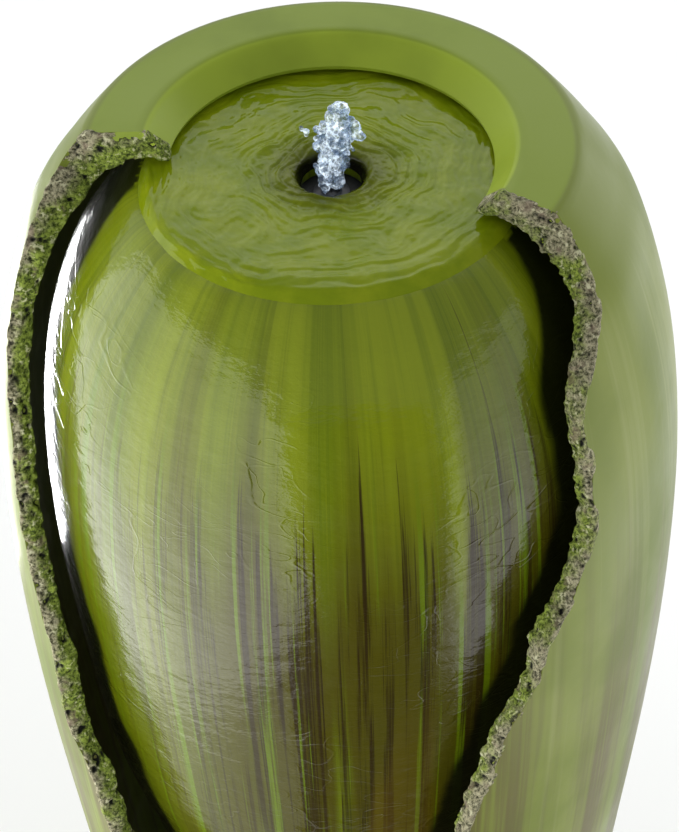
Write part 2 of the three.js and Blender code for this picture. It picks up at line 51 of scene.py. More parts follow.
# ------------------ dimensions, millimetres
# Profiles are (radius, height) points.
INNER_LIP = (105.2, 845.0)
OUTER_LIP = (138.4, 842.0)
FLOOR_Z = 16.0
SHELL_OUTSIDE = [(125, 6), (141, 100), (157, 202), (173.4, 322), (188.9, 442), (197.7, 542),
                 (200, 632), (194, 712), (177.5, 782), (160, 814), (141.4, 839.5)]
SHELL_INSIDE = [(119, 26), (129, 100), (145, 202), (161.3, 322), (176.9, 442), (185.7, 542),
                (188, 632), (182, 712), (164.5, 780), (138, 810), (120, 823), (104, 828.5), (91, 826)]
VASE_OUTSIDE = [(100, 16.3), (94, 70), (91, 130), (94, 190), (105, 250), (125, 322), (151.5, 412),
                (164.5, 502), (172.4, 582), (173.6, 652), (167.6, 712), (152.6, 762), (134.3, 792),
                (118, 810), (110, 816)]
VASE_WALL = 8.0
DISC_R, DISC_Z, DISC_THICK, HOLE_R = 103.0, 818.0, 10.0, 18.5
POOL_Z = 824.0
BASIN_WATER_Z = 205.0
VASE_JOINT_Z = 250.0
GAP = 0.3
HATCH = {"half_width": 62, "low": 262, "high": 412, "corner": 18}
GLAND = {"z": 236, "hole": 9, "face": 14, "outer": 159.5, "inner": 151}
DRAIN = {"z": 44, "hole": 11, "face": 16, "outer": 130, "inner": 122}
FACE_DEPTH = 18
WELD = 2e-6  # metres

# Torn opening: its two edges as (height, degrees from the front, + towards +X).
TEAR_BOTTOM = 252.0
TEAR_LEFT = [(252, -24), (275, -36), (310, -43), (360, -50), (404, -53), (457, -55), (472, -60),
             (540, -61), (593, -64.5), (650, -69), (689, -72), (722, -77), (772, -82.5), (793, -85.5),
             (815, -91), (828, -96), (860, -97)]
TEAR_RIGHT = [(252, -8), (280, 1), (330, 9), (390, 15), (470, 20.5), (520, 25.5), (575, 30), (607, 35),
              (642, 42), (664, 44), (753, 46.5), (772, 50), (795, 57), (832, 59.5), (860, 60)]


# ------------------ seeded noise
def lattice(ix, iy, iz, seed):
    """A repeatable number in 0..1 for each lattice point."""
    n = (ix * 73856093) ^ (iy * 19349663) ^ (iz * 83492791) ^ (seed * 2654435761)
    n = (n ^ (n >> 13)) * 1274126177
    n = n ^ (n >> 16)
    return (n & 0xFFFFF) / 0xFFFFF


def value_noise(p, seed):
    """Smooth noise in -1..1 at points p of shape (..., 3), one lattice cell per unit."""
    cell = np.floor(p).astype(np.int64)
    f = p - cell
    f = f * f * f * (f * (f * 6 - 15) + 10)
    total = np.zeros(p.shape[:-1])
    for corner in product((0, 1), repeat=3):
        weight = np.ones(p.shape[:-1])
        for k in range(3):
            weight = weight * (f[..., k] if corner[k] else 1 - f[..., k])
        total += weight * lattice(*[cell[..., k] + corner[k] for k in range(3)], seed)
    return total * 2 - 1


def fractal(p, size, octaves, seed, gain=0.5):
    """Layers of noise, the largest with cells of the given size, roughly in -1..1."""
    total, amount, scale = np.zeros(p.shape[:-1]), 1.0, 1.0 / size
    for octave in range(octaves):
        total += amount * value_noise(p * scale + 17.3 * octave, seed + octave)
        amount *= gain
        scale *= 2.03
    return total


def pits(p, size, seed):
    """Distance to the nearest scattered point, 0 at a pit's middle and about 1 between pits."""
    q = p / size
    cell = np.floor(q).astype(np.int64)
    nearest = np.full(p.shape[:-1], 9.0)
    for step in product((-1, 0, 1), repeat=3):
        near = [cell[..., k] + step[k] for k in range(3)]
        point = np.stack([near[k] + lattice(*near, seed + 5 * k) for k in range(3)], -1)
        nearest = np.minimum(nearest, np.linalg.norm(point - q, axis=-1))
    return nearest


# ------------------ profiles
FLAT = np.array([1.0, 1.0, 0.0])  # times a point, drops its height


def unit(vectors):
    return vectors / np.linalg.norm(vectors, axis=-1, keepdims=True)


def spline(points):
    """The uniform Catmull-Rom curve through the points."""
    per_span = 12
    p = np.array(points, float)
    p = np.vstack([p[0], p, p[-1]])
    out = []
    for i in range(1, len(p) - 2):
        a, b, c, d = p[i - 1], p[i], p[i + 1], p[i + 2]
        for t in np.arange(per_span) / per_span:
            out.append(0.5 * ((2 * b) + (c - a) * t + (2 * a - 5 * b + 4 * c - d) * t * t
                              + (3 * b - a - 3 * c + d) * t ** 3))
    out.append(p[-2])
    return np.array(out)


def fillet(before, corner, after, radius, count=7):
    """Points of a rounded corner between two straight stretches."""
    before, corner, after = (np.array(v, float) for v in (before, corner, after))
    u, w = unit(before - corner), unit(after - corner)
    half = math.acos(np.clip(u @ w, -1, 1)) / 2
    reach = radius / math.tan(half)
    middle = corner + unit(u + w) * radius / math.sin(half)
    start, end = corner + u * reach - middle, corner + w * reach - middle
    turn = math.acos(np.clip(start @ end / radius ** 2, -1, 1))
    t = np.linspace(0, 1, count)[:, None]
    return middle + (np.sin((1 - t) * turn) * start + np.sin(t * turn) * end) / math.sin(turn)


def resampled(path, values):
    """Points at the given fractions of a path's length."""
    path = np.asarray(path, float)
    length = np.concatenate([[0], np.cumsum(np.linalg.norm(np.diff(path, axis=0), axis=1))])
    at = np.asarray(values) * length[-1]
    return np.stack([np.interp(at, length, path[:, k]) for k in range(path.shape[1])], -1)


def radius_at(path, height):
    return np.interp(height, path[:, 1], path[:, 0])


def outward_normals(path):
    """Unit normals of a path, to its right-hand side."""
    along = unit(np.gradient(path, axis=0))
    return np.stack([along[:, 1], -along[:, 0]], -1)


shell_out = spline(SHELL_OUTSIDE)
shell_in = spline(SHELL_INSIDE)
vase_out = spline(VASE_OUTSIDE)


# ------------------ mesh building
def linked(name, data):
    """A new object in the scene that holds the data."""
    obj = bpy.data.objects.new(name, data)
    bpy.context.collection.objects.link(obj)
    return obj


def emptied(body, name):
    """A new object made from a bmesh, which is used up."""
    mesh = bpy.data.meshes.new(name)
    body.to_mesh(mesh)
    body.free()
    return linked(name, mesh)


def build(name, patches, sharp=40.0, values=None):
    """One mesh object from grids of points in millimetres: (points, material index) pairs.

    values holds numbers for the vertices: a name, and one array for each patch.
    """
    points, faces, slots, start = [], [], [], 0
    for grid, slot in patches:
        index = start + np.arange(grid.size // 3).reshape(grid.shape[:2])
        near, far = index[:-1], index[1:]
        quads = np.stack([near[:, :-1], near[:, 1:], far[:, 1:], far[:, :-1]], -1).reshape(-1, 4)
        points.append(grid.reshape(-1, 3) * MM)
        faces.append(quads)
        slots.append(np.full(len(quads), slot))
        start += index.size
    mesh = bpy.data.meshes.new(name)
    mesh.from_pydata(np.concatenate(points).tolist(), [], np.concatenate(faces).tolist())
    mesh.polygons.foreach_set("material_index", np.concatenate(slots).astype(np.int32))
    for key, arrays in (values or {}).items():
        layer = mesh.attributes.new(key, "FLOAT", "POINT")
        layer.data.foreach_set("value", np.concatenate([a.ravel() for a in arrays]).astype(np.float32))
    body = bmesh.new()
    body.from_mesh(mesh)
    bmesh.ops.remove_doubles(body, verts=body.verts, dist=WELD)
    bmesh.ops.dissolve_degenerate(body, edges=body.edges, dist=1e-7)
    bmesh.ops.recalc_face_normals(body, faces=body.faces)
    body.to_mesh(mesh)
    body.free()
    return finish_shading(linked(name, mesh), sharp)


def finish_shading(obj, sharp=40.0):
    obj.data.polygons.foreach_set("use_smooth", np.ones(len(obj.data.polygons), bool))
    obj.data.set_sharp_from_angle(angle=math.radians(sharp))
    return obj


def revolve(path, angles):
    """A grid of points: rows along the path of (radius, height), columns at the angles."""
    path = np.asarray(path, float)
    angles = np.broadcast_to(np.asarray(angles, float), (len(path), np.shape(angles)[-1]))
    r, z = path[:, :1], path[:, 1:2]
    return np.stack([r * np.sin(angles), -r * np.cos(angles), z + 0 * angles], -1)


def full_circle(count):
    return np.linspace(0, 2 * np.pi, count + 1)


def rounded(path, radius):
    """The closed path with each corner that bends more than 25 degrees rounded off."""
    path = [np.array(p, float) for p in path]
    out = []
    for i, corner in enumerate(path):
        before, after = path[i - 1], path[(i + 1) % len(path)]
        u, w = before - corner, after - corner
        lengths = np.linalg.norm(u), np.linalg.norm(w)
        bend = 180 - math.degrees(math.acos(np.clip(u @ w / (lengths[0] * lengths[1]), -1, 1)))
        half = math.radians(180 - bend) / 2
        fit = min(radius, 0.4 * min(lengths) * math.tan(half))
        out.append(fillet(before, corner, after, fit, 4) if 25 < bend < 175 else corner[None])
    return np.concatenate(out)


def turned(name, profile, count, edge):
    """A piece turned about the urn's axis from a closed profile, its corners rounded by edge."""
    path = rounded(profile, edge)
    grid = revolve(np.vstack([path, path[:1]]), full_circle(count))
    return build(name, [(grid, 0)], sharp=50.0)


def evaluated(obj):
    """Applies an object's modifiers to its mesh."""
    bpy.context.view_layer.update()
    graph = bpy.context.evaluated_depsgraph_get()
    mesh = bpy.data.meshes.new_from_object(obj.evaluated_get(graph))
    obj.modifiers.clear()
    obj.data = mesh
    return obj


def cut(obj, tool):
    """Cuts obj by tool, which is used up."""
    step = obj.modifiers.new("cut", "BOOLEAN")
    step.operation = "DIFFERENCE"
    step.object = tool
    step.solver = "EXACT"
    evaluated(obj)
    bpy.data.objects.remove(tool)


def rounded_outline(half_width, low, high, corner):
    """Points of a rounded rectangle in X and Z, anticlockwise seen from the front."""
    points = []
    for sx, sz, start in ((1, 1, 0), (-1, 1, 90), (-1, -1, 180), (1, -1, 270)):
        cx = sx * (half_width - corner)
        cz = (high - corner) if sz > 0 else (low + corner)
        for a in np.radians(np.linspace(start, start + 90, 10)):
            points.append((cx + corner * math.cos(a), cz + corner * math.sin(a)))
    return np.array(points)


def prism(name, outline, y_low, y_high, slot):
    """A closed prism along Y from an outline of (x, z) points."""
    body = bmesh.new()
    front = [body.verts.new(Vector((x, y_low, z)) * MM) for x, z in outline]
    back = [body.verts.new(Vector((x, y_high, z)) * MM) for x, z in outline]
    body.faces.new(front)
    body.faces.new(back[::-1])
    for i in range(len(front)):
        j = (i + 1) % len(front)
        body.faces.new((front[j], front[i], back[i], back[j]))
    for face in body.faces:
        face.material_index = slot
    bmesh.ops.recalc_face_normals(body, faces=body.faces)
    return emptied(body, name)


def voxel_skin(obj, size):
    """Remeshes an object as one closed skin of even faces, of this size in millimetres."""
    remesh = obj.modifiers.new("skin", "REMESH")
    remesh.mode = "VOXEL"
    remesh.voxel_size = size * MM
    evaluated(obj)


def push_out(obj, distance):
    """Moves each vertex along its normal by distance(points), all in millimetres."""
    points, normals = np.empty((2, len(obj.data.vertices) * 3))
    obj.data.vertices.foreach_get("co", points)
    obj.data.vertices.foreach_get("normal", normals)
    points = points.reshape(-1, 3) / MM
    moved = points + normals.reshape(-1, 3) * distance(points)[:, None]
    obj.data.vertices.foreach_set("co", (moved * MM).ravel())
    obj.data.update()


# ------------------ materials
def srgb(r, g, b):
    """A linear colour from the usual 0..255 values."""
    def linear(v):
        v = v / 255
        return v / 12.92 if v <= 0.04045 else ((v + 0.055) / 1.055) ** 2.4
    return (linear(r), linear(g), linear(b), 1.0)


class Paint:
    """A material and its node tree, with short ways to add and link nodes."""

    def __init__(self, name, **sockets):
        self.material = bpy.data.materials.new(name)
        self.material.use_nodes = True
        self.tree = self.material.node_tree
        self.shader = self.tree.nodes["Principled BSDF"]
        for key, value in sockets.items():
            self.shader.inputs[key.replace("_", " ")].default_value = value
        self.where = self.node("TexCoord").outputs["Object"]

    def node(self, kind, inputs=None, **settings):
        node = self.tree.nodes.new("ShaderNode" + kind)
        for key, value in settings.items():
            setattr(node, key, value)
        for key, value in (inputs or {}).items():
            self.set(node.inputs[key], value)
        return node

    def set(self, socket, value):
        if isinstance(value, bpy.types.NodeSocket):
            self.tree.links.new(value, socket)
        else:
            socket.default_value = value

    def math(self, operation, a, b=0.0):
        return self.node("Math", {0: a, 1: b}, operation=operation).outputs[0]

    def times(self, *factors):
        product_so_far = factors[0]
        for factor in factors[1:]:
            product_so_far = self.math("MULTIPLY", product_so_far, factor)
        return product_so_far

    def remap(self, value, low, high, to_low=0.0, to_high=1.0):
        """An eased ramp from to_low to to_high while the value goes from low to high."""
        inputs = {"Value": value, "From Min": low, "From Max": high, "To Min": to_low, "To Max": to_high}
        return self.node("MapRange", inputs, interpolation_type="SMOOTHSTEP").outputs["Result"]

    def mix(self, factor, a, b):
        node = self.node("Mix", data_type="RGBA")
        self.set(node.inputs[0], factor)
        self.set(node.inputs[6], a)
        self.set(node.inputs[7], b)
        return node.outputs[2]

    def attribute(self, name):
        return self.node("Attribute", attribute_name=name).outputs["Fac"]

    def stretched(self, factors):
        """The position with each axis times its factor."""
        return self.node("VectorMath", {0: self.where, 1: factors}, operation="MULTIPLY").outputs[0]

    def axis(self, k):
        return self.node("SeparateXYZ", {0: self.where}).outputs[k]

    def height(self):
        return self.axis(2)

    def flat(self):
        """The position with its height left out."""
        return self.node("CombineXYZ", {"X": self.axis(0), "Y": self.axis(1)}).outputs[0]

    def flat_radius(self):
        """Distance from the urn's axis."""
        return self.node("VectorMath", {0: self.flat()}, operation="LENGTH").outputs["Value"]

    def noise(self, scale, detail=4.0, roughness=0.5, distortion=0.0, at=None):
        inputs = {"Vector": self.where if at is None else at, "Scale": scale, "Detail": detail,
                  "Roughness": roughness, "Distortion": distortion}
        return self.node("TexNoise", inputs).outputs["Fac"]

    def columns(self, width, length, detail=4.0, roughness=0.6):
        """Noise that runs down the urn in marks of this width and length, in metres.

        Without a length the marks run all the way down.
        """
        bearing = self.node("VectorMath", {0: self.flat()}, operation="NORMALIZE").outputs[0]
        parts = self.node("SeparateXYZ", {0: bearing})
        belly = 0.17
        stretch = width / (belly * length) if length else 0.0
        tall = self.math("MULTIPLY", self.height(), stretch)
        joined = {"X": parts.outputs[0], "Y": parts.outputs[1], "Z": tall}
        at = self.node("CombineXYZ", joined).outputs[0]
        return self.noise(belly / width, detail, roughness, at=at)

    def colour(self, value):
        self.set(self.shader.inputs["Base Color"], value)

    def roughness(self, value):
        self.set(self.shader.inputs["Roughness"], value)

    def bump(self, height, strength, distance, coat=False):
        inputs = {"Height": height, "Strength": strength, "Distance": distance}
        normal = self.node("Bump", inputs).outputs[0]
        self.set(self.shader.inputs["Normal"], normal)
        if coat:
            self.set(self.shader.inputs["Coat Normal"], normal)

    def glow(self, colour, strength):
        self.shader.inputs["Emission Color"].default_value = colour
        self.set(self.shader.inputs["Emission Strength"], strength)


def shell_glaze():
    """Satin sage glaze, with soft brown runs that start at the widest part and grow lower down."""
    p = Paint("shell_glaze", Specular_IOR_Level=0.20, Coat_Weight=0.08, Coat_Roughness=0.22)
    height = p.height()
    tops = p.columns(0.020, None, 3)
    below = p.math("SUBTRACT", p.math("SUBTRACT", 0.94, p.times(tops, 0.5)), height)
    wide, fine = p.columns(0.024, 0.6), p.columns(0.0050, 0.5)
    wall = p.remap(height, 0.815, 0.76)
    broad = p.mix(wall, (0.5, 0.5, 0.5, 1), p.columns(0.07, 0.25, 3, 0.5))
    base = p.mix(p.remap(broad, 0.38, 0.62), srgb(108, 122, 36), srgb(126, 137, 52))
    base = p.mix(p.times(p.remap(fine, 0.5, 0.7), wall, 0.3), base, srgb(150, 157, 96))
    thin = p.remap(fine, 0.35, 0.55, 0.35, 1.0)
    brown = p.times(p.remap(below, 0.0, 0.25), p.remap(wide, 0.38, 0.55), thin)
    base = p.mix(p.times(brown, 0.78), base, srgb(94, 80, 46))
    lower = p.remap(height, 0.62, 0.18)
    mauve = p.times(p.remap(p.columns(0.034, 0.6), 0.52, 0.64), lower)
    base = p.mix(p.times(mauve, 0.6), base, srgb(108, 94, 76))
    # Painted reflection: the rim top and the funnel inside it are lifted to a lighter green for the
    # sheen they show.
    radius = p.flat_radius()
    rim = p.times(p.remap(radius, 0.1375, 0.1345), p.remap(height, 0.815, 0.826))
    base = p.mix(p.times(rim, 0.85), base, srgb(130, 150, 28))
    # Painted reflection: the funnel is made lighter still.
    funnel = p.times(p.remap(radius, 0.1065, 0.1045), p.remap(height, 0.822, 0.826))
    base = p.mix(p.times(funnel, 0.85), base, srgb(160, 180, 54))
    cloud = p.noise(11, 4, 0.55)
    base = p.mix(p.times(p.remap(cloud, 0.45, 0.7), 0.3), base, srgb(92, 110, 24))
    p.colour(base)
    p.roughness(p.remap(cloud, 0.3, 0.7, 0.30, 0.44))
    p.bump(p.noise(150, 3, 0.5), 0.10, 0.0008)
    return p.material


def torn_body():
    """The broken edge: beige grit outside and moss inside, with pits darkened by painted shade, and pale
    chips.
    """
    p = Paint("torn_body", Roughness=0.85, Specular_IOR_Level=0.3)
    relief = p.attribute("relief")
    across = p.attribute("across")
    grit = p.noise(520, 4, 0.7)
    patch = p.noise(55, 4, 0.6)
    stone = p.mix(p.remap(grit, 0.34, 0.62), srgb(66, 66, 40), srgb(176, 170, 138))
    moss = p.mix(p.remap(grit, 0.34, 0.62), srgb(50, 66, 10), srgb(148, 166, 66))
    side = p.remap(p.axis(0), -0.06, 0.08, 0.42, 0.22)
    mossy = p.remap(p.math("ADD", p.times(across, side), patch), 0.50, 0.74)
    body = p.mix(mossy, stone, moss)
    mauve = p.noise(90, 3, 0.6)
    body = p.mix(p.times(p.remap(mauve, 0.56, 0.68), 0.5), body, srgb(132, 112, 98))
    chips = p.noise(260, 3, 0.6)
    body = p.mix(p.times(p.remap(chips, 0.58, 0.66), 0.75), body, srgb(206, 204, 168))
    # Painted shade: the hollows and pits, where relief is low, go nearly black.
    body = p.mix(p.remap(relief, 0.42, 0.10), body, srgb(14, 15, 7))
    p.colour(body)
    p.bump(grit, 0.9, 0.0016)
    return p.material


def bare_body():
    """Unglazed cast body, damp, and dark partly as painted shade: the shell's inside and the reveals of
    its openings.
    """
    p = Paint("bare_body", Roughness=0.8, Specular_IOR_Level=0.35)
    grit = p.noise(330, 5, 0.7)
    stain = p.noise(18, 4, 0.6)
    # Dark partly from the damp body and partly as painted shade for the unlit inside.
    colour = p.mix(p.remap(grit, 0.35, 0.65), srgb(34, 40, 26), srgb(84, 92, 64))
    colour = p.mix(p.times(p.remap(stain, 0.45, 0.62), 0.7), colour, srgb(38, 48, 18))
    p.colour(colour)
    p.bump(grit, 0.8, 0.0012)
    return p.material


def vase_glaze():
    """Wet olive glaze: brown runs that start below the shoulder, under a film of water."""
    p = Paint("vase_glaze", Specular_IOR_Level=0.15, Coat_Weight=1.0, Coat_Roughness=0.02, Coat_IOR=1.35)
    height = p.height()
    tops = p.columns(0.030, None, 3, 0.5)
    below = p.math("SUBTRACT", p.math("SUBTRACT", 0.985, p.times(tops, 0.42)), height)
    wide, fine, hair = p.columns(0.030, 0.9), p.columns(0.0078, 0.45, 5, 0.66), p.columns(0.0014, 0.25)
    green = p.mix(p.remap(wide, 0.38, 0.62), srgb(104, 120, 4), srgb(128, 142, 14))
    green = p.mix(p.times(p.remap(hair, 0.5, 0.7), 0.30), green, srgb(140, 148, 22))
    green = p.mix(p.times(p.remap(fine, 0.48, 0.36), 0.35), green, srgb(76, 96, 4))
    across = p.axis(0)
    wash = p.times(p.remap(below, -0.04, 0.15), p.remap(wide, 0.24, 0.44), 0.94)
    colour = p.mix(p.times(wash, p.remap(across, -0.15, -0.05, 0.35, 1.0)), green, srgb(70, 64, 5))
    limit = p.remap(below, -0.05, 0.14, 0.76, 0.54)
    dark = p.remap(p.math("SUBTRACT", p.math("ADD", fine, p.times(hair, 0.16)), limit), 0.0, 0.09)
    sparse = p.remap(across, -0.15, -0.04, 0.4, 1.0)
    lined = p.remap(hair, 0.36, 0.58, 0.40, 1.0)
    dark = p.times(dark, p.remap(below, 0.12, 0.42, 1.0, 0.75), lined, sparse)
    colour = p.mix(p.times(dark, 0.96), colour, srgb(44, 32, 6))
    fresh = p.times(p.remap(p.columns(0.0055, 0.5), 0.55, 0.63), p.remap(below, 0.0, 0.10))
    colour = p.mix(p.times(fresh, 0.75), colour, srgb(100, 124, 6))
    ochre = p.times(p.remap(p.columns(0.06, 0.5, 3), 0.56, 0.66), p.remap(height, 0.62, 0.42))
    colour = p.mix(p.times(ochre, 0.2), colour, srgb(130, 98, 20))
    # Painted shade: the vase goes nearly black just past the shell's torn edges, for the shell's shadow.
    shell_shadow_paint = p.attribute("shell_shadow_paint")
    p.colour(p.mix(p.times(shell_shadow_paint, 0.95), colour, srgb(10, 11, 4)))
    p.roughness(p.remap(p.noise(30, 3, 0.5), 0.3, 0.7, 0.28, 0.40))
    flat = p.stretched((1.0, 1.0, 2.1))
    edges = None
    for scale, distortion, width in ((15, 0.5, 0.013), (27, 0.6, 0.016)):
        field = p.noise(scale, 1.5, 0.4, distortion, at=flat)
        line = p.remap(p.math("ABSOLUTE", p.math("SUBTRACT", field, 0.52)), 0.0, width, 1.0, 0.0)
        edges = line if edges is None else p.math("MAXIMUM", edges, line)
    edges = p.times(edges, p.remap(p.noise(8, 2, 0.5), 0.46, 0.64), p.remap(height, 0.80, 0.76))
    swell = p.noise(60, 4, 0.6, at=flat)
    p.bump(p.math("ADD", p.times(edges, 1.0), p.times(swell, 2.6)), 0.26, 0.0010, coat=True)
    return p.material


def pool_water():
    """The pool over the plate: glossy, darker and browner towards the outlet, and painted near black as
    shade where it runs into the outlet.
    """
    p = Paint("pool_water", Roughness=0.04, Specular_IOR_Level=0.15, Coat_Weight=0.08,
              Coat_Roughness=0.02)
    radius = p.flat_radius()
    cloud = p.noise(34, 5, 0.6)
    green = p.mix(p.remap(cloud, 0.35, 0.65), srgb(116, 134, 8), srgb(134, 148, 18))
    brown = p.remap(p.math("ADD", radius, p.times(cloud, 0.02)), 0.026, 0.060, 0.7, 0.0)
    colour = p.mix(brown, green, srgb(70, 70, 8))
    # Painted shade: near black where the water drops into the dark outlet.
    p.colour(p.mix(p.remap(radius, 0.0225, 0.0185), colour, srgb(20, 20, 10)))
    p.bump(p.noise(170, 3, 0.55), 0.13, 0.0006, coat=True)
    return p.material


def splash_water():
    """Broken water lit from below by the lamp: clear, with blue shades, and white glints that are
    painted light glowing from the water itself.
    """
    p = Paint("splash_water", Roughness=0.04, IOR=1.33, Transmission_Weight=0.85)
    cells = p.node("TexVoronoi", {"Vector": p.where, "Scale": 420}).outputs["Distance"]
    cloud = p.noise(150, 3, 0.6)
    p.colour(p.mix(p.remap(cloud, 0.40, 0.60), srgb(150, 172, 200), srgb(246, 250, 250)))
    # Painted light: the glints glow by emission, though the water is no lamp.
    painted_glints = p.times(p.remap(cells, 0.35, 0.70), p.remap(cloud, 0.46, 0.62))
    p.glow((0.74, 0.86, 1.0, 1), p.times(painted_glints, 0.6))
    p.bump(p.math("ADD", cells, p.noise(500, 2, 0.5)), 0.6, 0.0010)
    return p.material


def basin_water():
    """Dark clear water in the foot."""
    p = Paint("basin_water", Roughness=0.03, IOR=1.33, Transmission_Weight=0.8)
    cloud = p.noise(30, 3, 0.5)
    p.colour(p.mix(p.remap(cloud, 0.4, 0.6), srgb(150, 160, 120), srgb(180, 190, 150)))
    p.bump(cloud, 0.3, 0.0008)
    return p.material


def dry_cast():
    """Pale grey cast resin, as the pieces that stay dry behind the wall."""
    p = Paint("dry_cast", Roughness=0.85, Specular_IOR_Level=0.3)
    grit = p.noise(300, 5, 0.7)
    p.colour(p.mix(p.remap(grit, 0.3, 0.7), srgb(104, 102, 86), srgb(150, 148, 130)))
    p.bump(grit, 0.6, 0.0008)
    return p.material


def moulded(name, colour, rough, grain=0.10, scale=900):
    """Injection-moulded plastic or rubber with a fine grain and slight dusting."""
    p = Paint(name, Specular_IOR_Level=0.45)
    cloud = p.noise(30, 4, 0.6)
    lighter = tuple(min(1.0, c * 1.5 + 0.012) for c in colour[:3]) + (1.0,)
    p.colour(p.mix(p.remap(cloud, 0.35, 0.75), colour, lighter))
    p.roughness(p.remap(cloud, 0.3, 0.7, rough - 0.07, rough + 0.07))
    p.bump(p.noise(scale, 2, 0.5), grain, 0.0003)
    return p.material


def metal(name, colour, rough, tarnish, brushed=False):
    """Cast or turned metal with cloudy tarnish, brushed round if asked."""
    p = Paint(name, Metallic=1.0)
    cloud = p.noise(60, 5, 0.6)
    p.colour(p.mix(p.remap(cloud, 0.45, 0.72), colour, tarnish))
    p.roughness(p.remap(cloud, 0.3, 0.7, rough - 0.06, rough + 0.10))
    if brushed:
        p.bump(p.noise(1, 2, 0.5, at=p.stretched((40, 40, 1800))), 0.15, 0.0002)
    return p.material


def foam():
    """Open-cell foam, its pores darkened by painted shade."""
    p = Paint("filter_foam", Roughness=1.0, Sheen_Weight=0.3, Specular_IOR_Level=0.2)
    holes = p.node("TexVoronoi", {"Vector": p.where, "Scale": 520}).outputs["Distance"]
    # Painted shade: dark where the pores sink in.
    p.colour(p.mix(p.remap(holes, 0.2, 0.7), srgb(70, 84, 96), srgb(22, 28, 34)))
    p.bump(holes, -1.0, 0.0014)
    return p.material


def lamp_glow():
    """Clear epoxy that glows at its tip."""
    p = Paint("led_epoxy", Roughness=0.12, Base_Color=srgb(248, 246, 226), Specular_IOR_Level=0.6)
    p.glow((0.80, 0.90, 1.0, 1), p.remap(p.height(), 0.7985, 0.8015, 0.3, 2.2))
    return p.material


def board_mask():
    """White solder mask with faint tracks round the board."""
    p = Paint("lamp_board", Roughness=0.4)
    wave = p.math("SINE", p.math("MULTIPLY", p.flat_radius(), 3400.0))
    cloud = p.noise(220, 3, 0.5)
    mask = p.mix(p.remap(cloud, 0.4, 0.6), srgb(196, 200, 194), srgb(214, 218, 212))
    p.colour(p.mix(p.times(p.remap(wave, 0.80, 0.90), 0.6), mask, srgb(150, 156, 148)))
    p.bump(wave, 0.2, 0.0001)
    return p.material


def vinyl():
    """Cloudy clear tube with a little algae in it."""
    p = Paint("clear_vinyl", Roughness=0.16, IOR=1.45, Transmission_Weight=0.45)
    cloud = p.noise(40, 4, 0.6)
    p.colour(p.mix(p.remap(cloud, 0.4, 0.7), srgb(204, 212, 200), srgb(150, 160, 120)))
    p.bump(cloud, 0.1, 0.0005)
    return p.material


def lens_clear():
    """Smoky ribbed lens, wet on top."""
    p = Paint("clear_lens", Roughness=0.08, IOR=1.49, Transmission_Weight=0.9)
    radius = p.flat_radius()
    lime = p.noise(120, 4, 0.6)
    p.colour(p.mix(p.remap(lime, 0.5, 0.7), srgb(70, 74, 84), srgb(96, 98, 92)))
    p.bump(p.math("SINE", p.math("MULTIPLY", radius, 5200.0)), 0.3, 0.0004)
    return p.material


def floor_paint():
    p = Paint("pale_floor", Roughness=0.8, Specular_IOR_Level=0.0)
    cloud = p.noise(1.2, 3, 0.5)
    p.colour(p.mix(cloud, (0.86, 0.86, 0.85, 1), (0.90, 0.90, 0.89, 1)))
    return p.material


MATERIALS = {
    "shell_glaze": shell_glaze(),
    "torn_body": torn_body(),
    "bare_body": bare_body(),
    "vase_glaze": vase_glaze(),
    "pool_water": pool_water(),
    "splash_water": splash_water(),
    "basin_water": basin_water(),
    "cast_resin": dry_cast(),
    "seal_rubber": moulded("seal_rubber", (0.022, 0.022, 0.022, 1), 0.62, 0.2),
    "black_plastic": moulded("black_plastic", (0.026, 0.027, 0.030, 1), 0.42),
    "grey_plastic": moulded("grey_plastic", (0.12, 0.125, 0.135, 1), 0.40),
    "clear_lens": lens_clear(),
    "led_epoxy": lamp_glow(),
    "lamp_board": board_mask(),
    "brass": metal("brass", srgb(206, 164, 84), 0.28, srgb(124, 92, 40)),
    "steel": metal("steel", srgb(190, 192, 194), 0.30, srgb(132, 134, 136), brushed=True),
    "magnet": moulded("magnet", (0.035, 0.035, 0.038, 1), 0.55, 0.3, 500),
    "shaft_ceramic": moulded("shaft_ceramic", (0.80, 0.79, 0.74, 1), 0.18, 0.03),
    "clear_vinyl": vinyl(),
    "filter_foam": foam(),
}


def place(obj, body, slot, *materials, node=None):
    """Gives a piece its materials and body, and hides the CAD node that it stands for; slot is not used.
    """
    obj.data.materials.clear()
    for name in materials:
        obj.data.materials.append(MATERIALS[name])
    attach(obj, body)
    if node:
        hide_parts(node)
    return obj


# ------------------ camera, light and floor
def camera():
    """The studio camera: above and in front, looking down, with the frame's long side 36 mm."""
    pitch, roll, focal = 41.5, 1.978, 155.8
    back, above_pool = -1.5997, 1.2319
    data = bpy.data.cameras.new("camera")
    data.sensor_width = 36
    data.lens = focal
    data.clip_end = 50
    obj = linked("camera", data)
    tip, spin = (Matrix.Rotation(math.radians(angle), 4, axis)
                 for angle, axis in ((90 - pitch, "X"), (-roll, "Z")))
    obj.matrix_world = Matrix.Translation((0, back, POOL_Z * MM + above_pool)) @ tip @ spin
    bpy.context.scene.camera = obj


def softbox(name, place_at, aim, size, power):
    data = bpy.data.lights.new(name, "AREA")
    data.shape = "RECTANGLE"
    data.size, data.size_y = size
    data.energy = power
    obj = linked(name, data)
    obj.location = place_at
    obj.rotation_euler = (Vector(aim) - Vector(place_at)).to_track_quat("-Z", "Y").to_euler()
    obj.visible_camera = False
    return obj


def leave_out(light, role, *objects):
    """Keeps a light off some objects (role "receiver"), or lets it through them ("blocker")."""
    group = bpy.data.collections.new(light.name + "_" + role)
    for obj in objects:
        group.objects.link(obj)
    for item in group.collection_objects:
        item.light_linking.link_state = "EXCLUDE"
    setattr(light.light_linking, role + "_collection", group)


